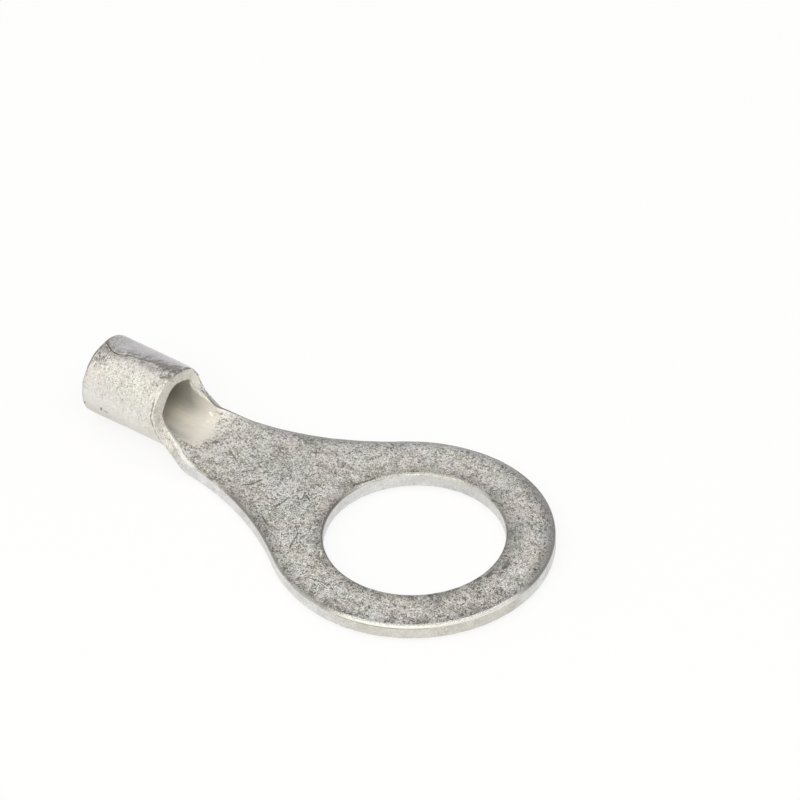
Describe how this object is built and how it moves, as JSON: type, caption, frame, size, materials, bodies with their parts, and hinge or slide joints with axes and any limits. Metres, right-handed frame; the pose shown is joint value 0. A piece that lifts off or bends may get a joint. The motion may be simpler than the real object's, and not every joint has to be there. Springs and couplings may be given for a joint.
{
  "type": "uninsulated ring terminal",
  "caption": "Stamped sheet ring terminal with a round stud hole, a waisted neck, an open scoop and a short rolled wire barrel whose butted seam lies on top.",
  "frame": {"origin": "on the axis of the stud hole, in the plane of the tongue's underside", "axes": "+Z along the stud hole's axis, out of the tongue's upper face; +X from the stud hole to the barrel, along the barrel's axis and out of its wire entry"},
  "size_m": [0.0376, 0.02, 0.0059],
  "materials": {
    "tinned_copper": "matt tin plate with a fine mottled grain"
  },
  "bodies": {
    "root": {"ring_terminal": "tinned_copper"}
  },
  "joints": []
}
